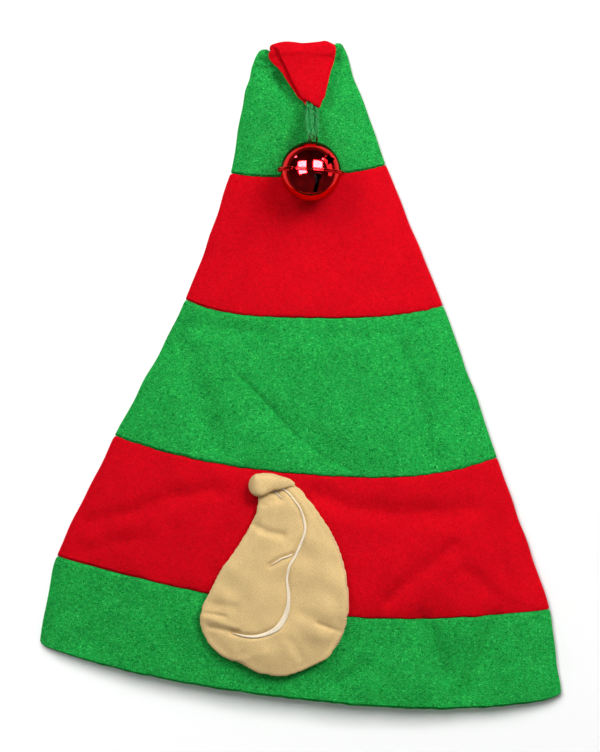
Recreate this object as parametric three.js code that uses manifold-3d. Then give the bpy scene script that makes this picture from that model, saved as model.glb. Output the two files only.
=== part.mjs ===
// An elf hat of striped felt that lies flat on its side. Five felt bands are hollow, flattened
// tubes, the red tip is folded over to the front, a bell hangs from it on a short cord, and a
// padded cloth ear lies on each side of the hat.
// Millimetres. X runs across the hat, Y from the head opening to the fold, and Z up from the floor.
// The origin is on the floor, under the middle of the hat.
import * as THREE from "three";
import { mergeVertices } from "three/addons/utils/BufferGeometryUtils.js";
import Module from "manifold-3d";

// Driving dimensions of the felt hat
const MOUTH_WIDTH = 300; // the head opening laid flat, half of the way round it
const HAT_LENGTH = 385; // from the lowest point of the hem to the fold
const HAT_RISE = 24; // how high the front felt stands above the floor where it is highest
const SIDE_FOLD = 4.5; // height of the side folds' middle above the floor
const FELT = 2; // thickness of the felt
const SEAM_DIP = 1; // how deep the front felt is pulled in at a seam
const GAP = 0.3; // clearance between pieces that touch
const EAR_CLEARANCE = 0.5; // the same between an ear and the felt, which both curve

// Driving dimensions of the folded tip
const TIP_WIDTH = 37; // width of the red tip at the fold
const TIP_LENGTH = 38.4; // from the fold's edge to the end of the tip
const TIP_THICK = 5.4; // both layers of felt pressed together
const TIP_TURN = 3.8; // radius of the fold, to the middle of the tip

// Driving dimensions of the ears
const EAR_WIDTH = 86;
const EAR_LENGTH = 112; // without the part of the rolled tip that stands past it
const EAR_THICK = 7; // padded cloth, in front
const EAR_BACK_THICK = 5.5; // the same, pressed flat under the hat
const EAR_EDGE = 2.4; // thickness of the ear's edge
const ROLL_WIDTH = 20; // the tip of the ear, rolled over to the front
const ROLL_HEIGHT = 13.6;
const ROLL_THICK = 8.5;
const ROLL_TURN = 12; // degrees

// Driving dimensions of the bell and its cord
const BELL_DIAMETER = 34.6;
const BELL_WALL = 0.9;
const FLANGE_WIDTH = 2; // how far the rim between the halves stands out
const FLANGE_THICK = 1.6; // both halves' rims together
const BALL_DIAMETER = 8;
const BALL_ASIDE = 0.35; // the ball lies this share of its way off the flange's plane
const STAR_WIDTH = 7.6; // over the points of the star-shaped hole
const STAR_WAIST = 0.42; // its inner corners, in shares of its points
const KEYHOLE_WIDTH = 4.4; // the round end of the keyhole
const SLOT_WIDTH = 2.4;
const SLOT_LENGTH = 10;
const EYE_WIRE = 1.3; // the wire of the eye that the cord runs through
const EYE_SINK = 1.2; // how far the eye's wire is let into the pole
const CORD_DIAMETER = 3;
const BELL_DROP = 37.3; // from the end of the folded tip to the bell's middle

// Places, in shares of the hat's length and of half the mouth's width
const EAR_PLACE = { across: -0.096, along: 0.188 };
const BELL_ACROSS = 0.041;
const BELL_LEAN = -3.5; // degrees in the plane of the floor, towards +X
const BELL_NOD = -3.5; // degrees that the eye's end hangs lower

// Holes in the bell, in degrees: azimuth from the side that faces up, and latitude
const STARS = [
  { azimuth: 47, latitude: 24 },
  { azimuth: 227, latitude: 24 },
];
const KEYHOLES = [
  { azimuth: 15, latitude: -12 },
  { azimuth: 195, latitude: -12 },
];

// Outline of the lying hat at each height above the hem's lowest point.
// left and right: from the middle line to each side fold.
const OUTLINE = [
  { along: 0, left: 1.052, right: 1.006 },
  { along: 0.0956, left: 1.002, right: 0.975 },
  { along: 0.1508, left: 0.973, right: 0.956 },
  { along: 0.23, left: 0.931, right: 0.886 },
  { along: 0.377, left: 0.749, right: 0.755 },
  { along: 0.41, left: 0.709, right: 0.725 },
  { along: 0.605, left: 0.448, right: 0.546 },
  { along: 0.801, left: 0.268, right: 0.341 },
  { along: 0.9213, left: 0.211, right: 0.229 },
  { along: 0.9616, left: 0.182, right: 0.193 },
  { along: 0.984, left: 0.157, right: 0.173 },
  { along: 1, left: 0.105, right: 0.15 },
];

// Section through the hat. rise: height of the front felt, in shares of HAT_RISE.
// fold: height of the side folds' middle, in shares of SIDE_FOLD.
const SECTIONS = [
  { along: 0, rise: 0.84, fold: 1 },
  { along: 0.2, rise: 1, fold: 1 },
  { along: 0.4, rise: 0.92, fold: 1 },
  { along: 0.6, rise: 0.66, fold: 0.95 },
  { along: 0.8, rise: 0.47, fold: 0.85 },
  { along: 0.92, rise: 0.4, fold: 0.78 },
  { along: 1, rise: 0.29, fold: 0.75 },
];

// Seams from the hem to the fold. left and right: height at each side fold. sag: how far the
// middle hangs below them, deepest at peak, and power: how flat the bottom of that curve is.
const SEAMS = [
  { left: 0.0956, right: 0.0179, sag: 0.0394, peak: 0.15, power: 2.4 },
  { left: 0.23, right: 0.1508, sag: 0.0418, peak: 0.2, power: 1.6 },
  { left: 0.41, right: 0.377, sag: 0.0408, peak: 0.2, power: 2.3 },
  { left: 0.6127, right: 0.6033, sag: 0.0224, peak: -0.15, power: 2.8 },
  { left: 0.8018, right: 0.8142, sag: 0.0099, peak: 0, power: 3 },
  { left: 0.988, right: 0.9915, sag: 0.011, peak: 0, power: 12 },
];

const GREEN = 0x1f9c43;
const RED = 0xd20f22;
const TAN = 0xd8b985;
const STEEL = 0x8c8c90;
const BANDS = [
  { name: "hem_band", colour: GREEN, rows: 6 },
  { name: "lower_red_band", colour: RED, rows: 6 },
  { name: "middle_green_band", colour: GREEN, rows: 6 },
  { name: "upper_red_band", colour: RED, rows: 6 },
  { name: "top_green_band", colour: GREEN, rows: 8 },
];

// Soft dents in the front felt. turn: direction of the dent's length, in degrees from +X.
// length and width: half of each, in shares of HAT_LENGTH. depth: in shares of HAT_RISE.
const DENTS = [
  { across: 0.042, along: 0.403, turn: -34, length: 0.1, width: 0.026, depth: 0.12 },
  { across: 0.475, along: 0.42, turn: -71, length: 0.06, width: 0.03, depth: 0.08 },
  { across: 0.54, along: 0.094, turn: -86, length: 0.06, width: 0.028, depth: 0.1 },
  { across: 0.69, along: 0.084, turn: 60, length: 0.06, width: 0.028, depth: 0.1 },
  { across: 0.02, along: 0.9, turn: 90, length: 0.08, width: 0.04, depth: 0.08 },
  { across: 0.042, along: 0.805, turn: 0, length: 0.05, width: 0.05, depth: 0.1 },
];

// Ear outline, anticlockwise from the right. across and along: from the ear's middle, in shares
// of half its width and half its length.
const EAR_OUTLINE = [
  { across: 0.98, along: -0.02 },
  { across: 1.01, along: -0.3 },
  { across: 0.9, along: -0.68 },
  { across: 0.62, along: -0.93 },
  { across: 0.26, along: -1.05 },
  { across: -0.14, along: -1.05 },
  { across: -0.5, along: -0.93 },
  { across: -0.86, along: -0.72 },
  { across: -1.01, along: -0.42 },
  { across: -0.87, along: 0 },
  { across: -0.58, along: 0.34 },
  { across: -0.24, along: 0.68 },
  { across: -0.08, along: 0.94 },
  { across: 0.14, along: 1.0 },
  { across: 0.4, along: 0.84 },
  { across: 0.68, along: 0.48 },
];
const EAR_POINTS = 40;

// Rings of the ear from its edge to its middle. size: in shares of the outline.
// height: in shares of the padding above the edge.
const EAR_RINGS = [
  { size: 0.965, height: 0.45 },
  { size: 0.88, height: 0.82 },
  { size: 0.66, height: 1 },
  { size: 0.33, height: 0.94 },
];
const ROLL_PLACE = { across: -0.17, along: 0.92 }; // middle of the rolled tip on the ear

// The folded tip from its root to its end, past the turn. reach: in shares of TIP_LENGTH.
// width: in shares of TIP_WIDTH. drift: sideways, in shares of TIP_WIDTH.
const TIP_ROWS = [
  { reach: 0.13, width: 1, drift: 0.046 },
  { reach: 0.37, width: 0.89, drift: 0.078 },
  { reach: 0.55, width: 0.69, drift: 0.13 },
  { reach: 0.73, width: 0.53, drift: 0.16 },
  { reach: 0.86, width: 0.44, drift: 0.17 },
  { reach: 1, width: 0.28, drift: 0.19 },
];
const TIP_TURN_STEPS = 6;
const TIP_POINTS = 20;

const RING_POINTS = 40; // points round each felt band
const FRONT_ROUNDING = 0.7; // how steeply the front felt rises from the side folds
const FLAT_SHARE = 0.8; // share of the back felt that lies flat
const TIP_ROUNDING = 0.6; // how full the edges of the folded tip are
const LIFT_FULL = 1.12; // the back felt is lifted fully out to this share of the ear's half size
const LIFT_END = 1.75; // and not at all from this share
const BELL_POINTS = 28; // sides of the round bell
const SHELL_STEPS = 7; // facets from the flange to the pole
const STAR_POINTS = 5;

const wasm = await Module();
wasm.setup();

const halfMouth = MOUTH_WIDTH / 2;
const degrees = THREE.MathUtils.degToRad;
const lerp = THREE.MathUtils.lerp;

// Height above the hem's lowest point, as a share, to Y and back
const yAt = (along) => (along - 0.5) * HAT_LENGTH;
const alongAt = (y) => y / HAT_LENGTH + 0.5;

// A smooth value of one column of a table whose rows are in order of along
function read(table, along, column) {
  const last = table.length - 2;
  const found = table.findLastIndex((row) => row.along <= along);
  const i = THREE.MathUtils.clamp(found, 0, last);
  const [a, b] = [table[i], table[i + 1]];
  const share = (along - a.along) / (b.along - a.along);
  const before = table[Math.max(i - 1, 0)];
  const after = table[Math.min(i + 2, last + 1)];
  const slopeA = (b[column] - before[column]) / (b.along - before.along);
  const slopeB = (after[column] - a[column]) / (after.along - a.along);
  const span = b.along - a.along;
  const s = THREE.MathUtils.clamp(share, 0, 1);
  const inside =
    a[column] * (1 + 2 * s) * (1 - s) ** 2 +
    slopeA * span * s * (1 - s) ** 2 +
    b[column] * s * s * (3 - 2 * s) +
    slopeB * span * s * s * (s - 1);
  const outside = share < 0 ? slopeA * (along - a.along) : share > 1 ? slopeB * (along - b.along) : 0;
  return inside + outside;
}

// The hat's middle line and half width at a height
function spread(y) {
  const left = -read(OUTLINE, alongAt(y), "left") * halfMouth;
  const right = read(OUTLINE, alongAt(y), "right") * halfMouth;
  return { middle: (left + right) / 2, half: (right - left) / 2 };
}

// Height of a seam at across, from -1 at the left fold to 1 at the right fold
function seamY(seam, across) {
  const reach = across < seam.peak ? 1 + seam.peak : 1 - seam.peak;
  const bow = 1 - Math.abs((across - seam.peak) / reach) ** seam.power;
  return yAt(lerp(seam.left, seam.right, (across + 1) / 2) - seam.sag * bow);
}

// How far all dents together push the front felt down
function dentDepth(x, y) {
  return DENTS.reduce((sum, dent) => {
    const dx = x - dent.across * halfMouth;
    const dy = y - yAt(dent.along);
    const [c, s] = [Math.cos(degrees(dent.turn)), Math.sin(degrees(dent.turn))];
    const u = (dx * c + dy * s) / (dent.length * HAT_LENGTH);
    const v = (dy * c - dx * s) / (dent.width * HAT_LENGTH);
    return sum + dent.depth * HAT_RISE * Math.exp(-u * u - v * v);
  }, 0);
}

// Front felt's outer height, with inset taken off it for the inner side
function frontZ(x, y, across, inset) {
  const fold = read(SECTIONS, alongAt(y), "fold") * SIDE_FOLD;
  const rise = read(SECTIONS, alongAt(y), "rise") * HAT_RISE - dentDepth(x, y);
  return fold + (rise - fold - inset) * (1 - across * across) ** FRONT_ROUNDING;
}

// Height of the front felt at a place on it, which carries the ear, the tip and the bell
function onFront(x, y) {
  const { middle, half } = spread(y);
  const across = THREE.MathUtils.clamp((x - middle) / half, -1, 1);
  return frontZ(x, y, across, 0);
}

// Middle of the ears on the hat
const earMiddle = new THREE.Vector2(EAR_PLACE.across * halfMouth, yAt(EAR_PLACE.along));

// How far the back felt is lifted off the floor by the ear below it
function backLift(x, y) {
  const dx = (x - earMiddle.x) / (EAR_WIDTH / 2);
  const dy = (y - earMiddle.y) / (EAR_LENGTH / 2);
  const away = THREE.MathUtils.smoothstep(Math.hypot(dx, dy), LIFT_FULL, LIFT_END);
  return (EAR_BACK_THICK + GAP) * (1 - away);
}

// Back felt's outer height: flat on the floor, and rounded up into the side folds
function backZ(x, y, across, inset) {
  const fold = read(SECTIONS, alongAt(y), "fold") * SIDE_FOLD;
  const u = Math.max(0, (Math.abs(across) - FLAT_SHARE) / (1 - FLAT_SHARE));
  return fold - (fold - inset) * Math.sqrt(1 - u * u) + backLift(x, y) * (1 - u);
}

// A mesh from rings of equally many points. Between poles it is closed by a point at each end,
// and without them its last ring joins its first.
function skin(rings, poles) {
  const count = rings[0].length;
  const points = rings.flat();
  const faces = [];
  const corner = (ring, i) => (ring % rings.length) * count + (i % count);
  const last = poles ? rings.length - 1 : rings.length;
  for (let ring = 0; ring < last; ring++) {
    for (let i = 0; i < count; i++) {
      const [a, b] = [corner(ring, i), corner(ring, i + 1)];
      const [c, d] = [corner(ring + 1, i + 1), corner(ring + 1, i)];
      faces.push(a, b, c, a, c, d);
    }
  }
  if (poles) {
    const first = points.push(poles[0]) - 1;
    const end = points.push(poles[1]) - 1;
    for (let i = 0; i < count; i++) {
      faces.push(first, corner(0, i + 1), corner(0, i));
      faces.push(end, corner(rings.length - 1, i), corner(rings.length - 1, i + 1));
    }
  }
  const geometry = new THREE.BufferGeometry().setFromPoints(points);
  geometry.setIndex(faces);
  return facingOut(geometry);
}

// The same mesh with its faces pointing out
function facingOut(geometry) {
  const at = geometry.getAttribute("position");
  const index = geometry.getIndex().array;
  const [a, b, c] = [new THREE.Vector3(), new THREE.Vector3(), new THREE.Vector3()];
  let volume = 0;
  for (let i = 0; i < index.length; i += 3) {
    a.fromBufferAttribute(at, index[i]);
    b.fromBufferAttribute(at, index[i + 1]);
    c.fromBufferAttribute(at, index[i + 2]);
    volume += a.dot(b.cross(c)) / 6;
  }
  if (volume < 0) {
    const turned = [];
    for (let i = 0; i < index.length; i += 3) turned.push(index[i], index[i + 2], index[i + 1]);
    geometry.setIndex(turned);
  }
  geometry.computeVertexNormals();
  return geometry;
}

// Solids for cutting and joining, and back to a mesh
function toSolid(geometry) {
  const bare = geometry.clone();
  bare.deleteAttribute("normal");
  bare.deleteAttribute("uv");
  const merged = mergeVertices(bare, 1e-4);
  return new wasm.Manifold(
    new wasm.Mesh({
      numProp: 3,
      vertProperties: merged.getAttribute("position").array,
      triVerts: new Uint32Array(merged.getIndex().array),
    }),
  );
}

function toGeometry(solid) {
  const mesh = solid.getMesh();
  const geometry = new THREE.BufferGeometry();
  geometry.setAttribute("position", new THREE.BufferAttribute(mesh.vertProperties, 3));
  geometry.setIndex(new THREE.BufferAttribute(mesh.triVerts, 1));
  geometry.computeVertexNormals();
  return geometry;
}

function piece(name, geometry, colour, roughness, metalness) {
  const material = new THREE.MeshStandardMaterial({ color: colour, roughness, metalness });
  const mesh = new THREE.Mesh(geometry, material);
  mesh.name = name;
  return mesh;
}

// One ring round a felt band at share s of the way from its lower seam to its upper one
function bandRing(low, high, s, inset) {
  const pull = s === 0 || s === 1 ? SEAM_DIP : 0;
  const trim = s === 0 ? GAP / 2 : s === 1 ? -GAP / 2 : 0;
  return Array.from({ length: RING_POINTS }, (_, i) => {
    const angle = (2 * Math.PI * i) / RING_POINTS;
    const across = Math.cos(angle);
    const y = lerp(seamY(low, across), seamY(high, across), s) + trim;
    const { middle, half } = spread(y);
    const x = middle + across * (half - inset);
    const front = Math.sin(angle) >= 0;
    const z = front ? frontZ(x, y, across, inset + pull) : backZ(x, y, across, inset);
    return new THREE.Vector3(x, y, z);
  });
}

// A felt band: a flattened tube with an outer and an inner side, open at both ends
function feltBand(band, index) {
  const [low, high] = [SEAMS[index], SEAMS[index + 1]];
  const steps = Array.from({ length: band.rows }, (_, i) => i / (band.rows - 1));
  const outer = steps.map((s) => bandRing(low, high, s, 0));
  const inner = steps.map((s) => bandRing(low, high, s, FELT)).reverse();
  return piece(band.name, skin([...outer, ...inner]), band.colour, 0.95, 0);
}

// One ring round the folded tip, at a point of its middle line that faces along (0, dy, dz)
function tipRing(at, width, thick, dy, dz) {
  return Array.from({ length: TIP_POINTS }, (_, i) => {
    const angle = (2 * Math.PI * i) / TIP_POINTS;
    const side = Math.sin(angle);
    const off = (Math.sign(side) * Math.abs(side) ** TIP_ROUNDING * thick) / 2;
    return new THREE.Vector3(at.x + (Math.cos(angle) * width) / 2, at.y - off * dz, at.z + off * dy);
  });
}

// The red tip: a flattened hollow cone that starts at the top band, turns over and lies on it
const tipTop = yAt(1) - TIP_THICK / 2 - TIP_TURN;
const tipEndY = yAt(1) - TIP_LENGTH;
function tipRows() {
  const root = TIP_THICK / 2 + GAP;
  const drift = TIP_ROWS[0].drift * TIP_WIDTH;
  const { middle, half } = spread(tipTop);
  const corners = [drift - TIP_WIDTH / 2, drift + TIP_WIDTH / 2].map((x) => (x - middle) / half);
  const start = Math.max(...corners.map((across) => seamY(SEAMS.at(-1), across))) + GAP;
  const rows = [{ at: new THREE.Vector3(drift, start, root), width: TIP_WIDTH, dy: 1, dz: 0 }];
  for (let i = 0; i <= TIP_TURN_STEPS; i++) {
    const angle = (Math.PI * i) / TIP_TURN_STEPS;
    const y = tipTop + TIP_TURN * Math.sin(angle);
    const z = root + TIP_TURN * (1 - Math.cos(angle));
    const at = new THREE.Vector3(drift, y, z);
    rows.push({ at, width: TIP_WIDTH, dy: Math.cos(angle), dz: Math.sin(angle) });
  }
  const turned = root + 2 * TIP_TURN;
  TIP_ROWS.slice(1).forEach((row) => {
    const x = row.drift * TIP_WIDTH;
    const y = lerp(yAt(1), tipEndY, row.reach);
    const z = Math.max(lerp(turned, 0, row.reach), onFront(x, y) + GAP + TIP_THICK / 2);
    rows.push({ at: new THREE.Vector3(x, y, z), width: row.width * TIP_WIDTH, dy: -1, dz: 0 });
  });
  return rows;
}

function redTip() {
  const rows = tipRows();
  const outer = rows.map((r) => tipRing(r.at, r.width, TIP_THICK, r.dy, r.dz)).reverse();
  const hollow = rows.slice(0, -1);
  const cavity = TIP_THICK - 2 * FELT;
  const inner = hollow.map((r) => tipRing(r.at, r.width - 2 * FELT, cavity, r.dy, r.dz));
  const poles = [rows.at(-1).at, hollow.at(-1).at];
  return piece("red_tip", skin([...outer, ...inner], poles), RED, 0.95, 0);
}

// The ear's outline as a smooth closed curve round its middle
const earCurve = new THREE.CatmullRomCurve3(
  EAR_OUTLINE.map(
    (p) =>
      new THREE.Vector3(
        earMiddle.x + (p.across * EAR_WIDTH) / 2,
        earMiddle.y + (p.along * EAR_LENGTH) / 2,
        0,
      ),
  ),
  true,
);
const earEdge = earCurve.getPoints(EAR_POINTS).slice(0, EAR_POINTS);

// An ear: padded cloth whose lower side lies on what floorZ gives, and whose tip is rolled over
function ear(name, thick, rollThick, floorZ) {
  const middle = new THREE.Vector3(earMiddle.x, earMiddle.y, 0);
  const ring = (size, lift) =>
    earEdge.map((p) => {
      const at = middle.clone().lerp(p, size);
      return at.setZ(floorZ(at.x, at.y) + lift);
    });
  const top = EAR_RINGS.map((r) => ring(r.size, EAR_EDGE + (thick - EAR_EDGE) * r.height));
  const under = EAR_RINGS.map((r) => ring(r.size, 0)).reverse();
  const edge = ring(1, EAR_EDGE / 2);
  const poles = [
    middle.clone().setZ(floorZ(middle.x, middle.y)),
    middle.clone().setZ(floorZ(middle.x, middle.y) + thick * EAR_RINGS.at(-1).height),
  ];
  const body = toSolid(skin([...under, edge, ...top], poles));
  const roll = new THREE.SphereGeometry(0.5, 20, 10);
  roll.scale(ROLL_WIDTH, ROLL_HEIGHT, rollThick);
  roll.rotateZ(degrees(ROLL_TURN));
  const x = earMiddle.x + (ROLL_PLACE.across * EAR_WIDTH) / 2;
  const y = earMiddle.y + (ROLL_PLACE.along * EAR_LENGTH) / 2;
  roll.translate(x, y, floorZ(x, y) + rollThick / 2);
  return piece(name, toGeometry(body.add(toSolid(roll))), TAN, 0.85, 0);
}

// The bell lies on the front felt on its flange, below the end of the tip
const bellX = BELL_ACROSS * halfMouth;
const bellY = tipEndY - BELL_DROP;
const flangeRadius = BELL_DIAMETER / 2 + FLANGE_WIDTH;
const bellZ = onFront(bellX, bellY) + GAP + flangeRadius;
const bellTurn = new THREE.Euler(degrees(-90 + BELL_NOD), 0, degrees(BELL_LEAN), "ZYX");
const bellAxis = new THREE.Vector3(0, 0, 1).applyEuler(bellTurn);
const eyeRadius = CORD_DIAMETER / 2 + EYE_WIRE / 2 + 3 * GAP;
const eyeAt = BELL_DIAMETER / 2 + eyeRadius - EYE_WIRE / 2 - EYE_SINK;

// Half of the bell's shell with its half of the flange, about Z, standing on the flange's middle
function halfShell() {
  const outer = BELL_DIAMETER / 2;
  const inner = outer - BELL_WALL;
  const rim = FLANGE_THICK / 2;
  const arc = (radius, foot) =>
    Array.from({ length: SHELL_STEPS + 1 }, (_, k) => {
      const angle = lerp(Math.asin(foot / radius), Math.PI / 2, k / SHELL_STEPS);
      const across = k === SHELL_STEPS ? 0 : radius * Math.cos(angle);
      return new THREE.Vector2(across, radius * Math.sin(angle));
    });
  const rolled = [
    new THREE.Vector2(flangeRadius - rim / 3, GAP / 2),
    new THREE.Vector2(flangeRadius, rim / 2),
    new THREE.Vector2(flangeRadius - rim / 3, rim),
  ];
  const profile = [...arc(inner, GAP / 2).reverse(), ...rolled, ...arc(outer, rim)];
  const shell = facingOut(new THREE.LatheGeometry(profile, BELL_POINTS));
  return shell.rotateX(degrees(90));
}

// A cutter that stands on +Z, turned to point out of the bell at a hole's place
function aim(geometry, hole) {
  geometry.rotateX(degrees(90 - hole.latitude));
  geometry.rotateZ(degrees(hole.azimuth));
  return toSolid(geometry);
}

function starCutter(hole) {
  const outline = Array.from({ length: 2 * STAR_POINTS }, (_, i) => {
    const radius = (STAR_WIDTH / 2) * (i % 2 ? STAR_WAIST : 1);
    const angle = (Math.PI * i) / STAR_POINTS + Math.PI / 2;
    return new THREE.Vector2(radius * Math.cos(angle), radius * Math.sin(angle));
  });
  const star = new THREE.Shape(outline);
  return aim(new THREE.ExtrudeGeometry(star, { depth: BELL_DIAMETER, bevelEnabled: false }), hole);
}

// The upper half carries the eye, a level ring of wire whose foot is soldered into the pole
function upperHalf() {
  const eye = new THREE.TorusGeometry(eyeRadius, EYE_WIRE / 2, 8, 20);
  eye.rotateX(degrees(90));
  eye.translate(0, 0, eyeAt);
  const inside = new THREE.SphereGeometry(BELL_DIAMETER / 2 - BELL_WALL / 2, BELL_POINTS, 14);
  const foot = toSolid(eye).subtract(toSolid(inside));
  return STARS.reduce(
    (half, hole) => half.subtract(starCutter(hole)),
    toSolid(halfShell()).add(foot),
  );
}

// The lower half has keyholes: a round hole near the flange and a slot below it
function lowerHalf() {
  const shell = halfShell();
  shell.rotateX(degrees(180));
  const radius = BELL_DIAMETER / 2;
  return KEYHOLES.reduce((half, hole) => {
    const round = new THREE.CylinderGeometry(KEYHOLE_WIDTH / 2, KEYHOLE_WIDTH / 2, radius, 14);
    round.rotateX(degrees(90));
    round.translate(0, 0, radius);
    const slot = new THREE.BoxGeometry(SLOT_WIDTH, SLOT_LENGTH, radius);
    slot.translate(0, 0, radius);
    const turn = THREE.MathUtils.radToDeg(SLOT_LENGTH / 2 / radius);
    const below = { azimuth: hole.azimuth, latitude: hole.latitude - turn };
    return half.subtract(aim(round, hole)).subtract(aim(slot, below));
  }, toSolid(shell));
}

function bell() {
  const group = new THREE.Group();
  group.position.set(bellX, bellY, bellZ);
  group.rotation.copy(bellTurn);
  group.add(piece("bell_upper_half", toGeometry(upperHalf()), RED, 0.15, 0.9));
  group.add(piece("bell_lower_half", toGeometry(lowerHalf()), RED, 0.15, 0.9));
  return group;
}

// The ball lies loose on the lowest part of the bell's inside
function bellBall() {
  const ball = piece("bell_ball", new THREE.SphereGeometry(BALL_DIAMETER / 2, 14, 8), STEEL, 0.3, 1);
  const drop = BELL_DIAMETER / 2 - BELL_WALL - BALL_DIAMETER / 2 - GAP;
  const aside = drop * BALL_ASIDE;
  ball.position.set(bellX, bellY - aside, bellZ - Math.sqrt(drop * drop - aside * aside));
  return ball;
}

// The doubled cord's route, chosen by hand: out of the tip's end, up to the bell, down through
// its eye and back below. x, y and z are from the eye's middle, in shares of BELL_DROP.
const CORD_ROUTE = [
  { x: -0.051, y: 0.48, z: -0.37 },
  { x: -0.054, y: 0.429, z: -0.346 },
  { x: -0.055, y: 0.37, z: -0.3 },
  { x: -0.054, y: 0.306, z: -0.228 },
  { x: -0.05, y: 0.241, z: -0.137 },
  { x: -0.043, y: 0.18, z: -0.043 },
  { x: -0.032, y: 0.126, z: 0.035 },
  { x: -0.021, y: 0.078, z: 0.076 },
  { x: -0.009, y: 0.035, z: 0.062 },
  { x: 0, y: 0.016, z: 0 },
  { x: 0.009, y: 0.035, z: -0.059 },
  { x: 0.019, y: 0.078, z: -0.083 },
  { x: 0.027, y: 0.131, z: -0.134 },
  { x: 0.032, y: 0.193, z: -0.214 },
  { x: 0.035, y: 0.265, z: -0.306 },
  { x: 0.035, y: 0.349, z: -0.391 },
  { x: 0.032, y: 0.429, z: -0.434 },
  { x: 0.032, y: 0.492, z: -0.445 },
];
const CORD_SIDES = 8;
const CORD_STEPS = 34;

function bellCord() {
  const eye = bellAxis.clone().multiplyScalar(eyeAt).add(new THREE.Vector3(bellX, bellY, bellZ));
  const route = new THREE.CatmullRomCurve3(
    CORD_ROUTE.map((p) => new THREE.Vector3(p.x, p.y, p.z).multiplyScalar(BELL_DROP).add(eye)),
  );
  const section = new THREE.Shape(
    Array.from({ length: CORD_SIDES }, (_, i) => {
      const angle = (2 * Math.PI * i) / CORD_SIDES;
      const radius = CORD_DIAMETER / 2;
      return new THREE.Vector2(radius * Math.cos(angle), radius * Math.sin(angle));
    }),
  );
  const tube = new THREE.ExtrudeGeometry(section, { steps: CORD_STEPS, extrudePath: route });
  return piece("bell_cord", tube, GREEN, 0.5, 0.3);
}

const hat = new THREE.Group();
BANDS.forEach((band, index) => hat.add(feltBand(band, index)));
hat.add(redTip());
hat.add(ear("ear_front", EAR_THICK, ROLL_THICK, (x, y) => onFront(x, y) + EAR_CLEARANCE));
hat.add(ear("ear_back", EAR_BACK_THICK, EAR_BACK_THICK, () => 0));
hat.add(bell(), bellBall(), bellCord());

export default hat;
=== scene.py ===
import math

import bpy
import numpy as np
from mathutils import Matrix, Vector
from mathutils.bvhtree import BVHTree


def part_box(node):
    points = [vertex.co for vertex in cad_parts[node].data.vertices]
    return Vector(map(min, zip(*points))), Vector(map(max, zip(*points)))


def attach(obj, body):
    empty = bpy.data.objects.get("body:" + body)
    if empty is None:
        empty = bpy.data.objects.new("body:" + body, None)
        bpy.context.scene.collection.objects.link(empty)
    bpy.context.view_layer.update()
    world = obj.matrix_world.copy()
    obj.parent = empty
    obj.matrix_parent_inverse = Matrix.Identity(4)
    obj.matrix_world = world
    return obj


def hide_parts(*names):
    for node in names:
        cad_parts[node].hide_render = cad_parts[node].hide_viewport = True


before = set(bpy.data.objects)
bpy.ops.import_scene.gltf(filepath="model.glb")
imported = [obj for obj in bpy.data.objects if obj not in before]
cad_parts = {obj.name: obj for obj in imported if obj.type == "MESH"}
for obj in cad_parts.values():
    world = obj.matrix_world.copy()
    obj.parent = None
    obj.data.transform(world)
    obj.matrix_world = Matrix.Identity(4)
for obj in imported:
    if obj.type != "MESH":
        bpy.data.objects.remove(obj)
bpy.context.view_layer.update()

# Camera
# The hat is seen from straight above and from far off, so that its height hardly shows.
# One pixel of the picture is 0.575 mm of the hat at the level of its side folds.
MM = 0.001
CAMERA_HEIGHT = 5
PICTURE_LENGTH = 752 * 0.575 * MM
FOLD_LEVEL = 4.5 * MM

bpy.ops.object.select_all(action="DESELECT")
bpy.ops.object.camera_add(location=(0, -0.29 * MM, CAMERA_HEIGHT), rotation=(0, 0, 0))
camera = bpy.context.object
camera.name = "camera"
camera.data.lens = camera.data.sensor_width * (CAMERA_HEIGHT - FOLD_LEVEL) / PICTURE_LENGTH
camera.data.clip_end = 50
bpy.context.scene.camera = camera
bpy.context.scene.view_settings.view_transform = "Standard"

# Felt bands
# Five strips of wool felt, 2 mm thick, are sewn into one cone of rings, right sides together,
# so that their edges turn in at each seam. The cone lies pressed flat, with soft dents.
HALF_MOUTH = 150
HAT_LENGTH = 385
HAT_RISE = 24
SIDE_FOLD = 4.5
FELT = 2
GAP = 0.3
OUTLINE = np.array([
    (0, 1.052, 1.006), (0.0956, 1.002, 0.975), (0.1508, 0.973, 0.956), (0.23, 0.931, 0.886),
    (0.377, 0.749, 0.755), (0.41, 0.709, 0.725), (0.605, 0.448, 0.546), (0.801, 0.268, 0.341),
    (0.9213, 0.211, 0.229), (0.942, 0.1905, 0.208), (0.9616, 0.182, 0.193), (0.984, 0.157, 0.173),
    (1, 0.105, 0.15),
])  # height above the hem in hat lengths, and half widths to the left and right in half mouths
SECTIONS = np.array([
    (0, 0.84, 1), (0.2, 1, 1), (0.4, 0.92, 1), (0.6, 0.66, 0.95), (0.8, 0.47, 0.85),
    (0.92, 0.4, 0.78), (1, 0.29, 0.75),
])  # height above the hem, rise of the front felt and height of the side folds
SEAMS = [
    (0.0956, 0.0179, 0.0394, 0.15, 2.4),
    (0.23, 0.1508, 0.0418, 0.2, 1.6),
    (0.41, 0.377, 0.0408, 0.2, 2.3),
    (0.6127, 0.6033, 0.0224, -0.15, 2.8),
    (0.8018, 0.8142, 0.0099, 0, 3),
    (0.9875, 0.9965, 0.013, 0, 2),
]  # left end, right end, sag, place of the deepest sag, and how flat its bottom is
DENTS = [
    (0.042, 0.403, -34, 0.1, 0.026, 0.12),
    (0.475, 0.42, -71, 0.06, 0.03, 0.08),
    (0.54, 0.094, -86, 0.06, 0.028, 0.1),
    (0.69, 0.084, 60, 0.06, 0.028, 0.1),
    (0.02, 0.9, 90, 0.08, 0.04, 0.08),
    (0.042, 0.805, 0, 0.05, 0.05, 0.1),
]  # place across and along, turn in degrees, half length, half width and depth
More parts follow.
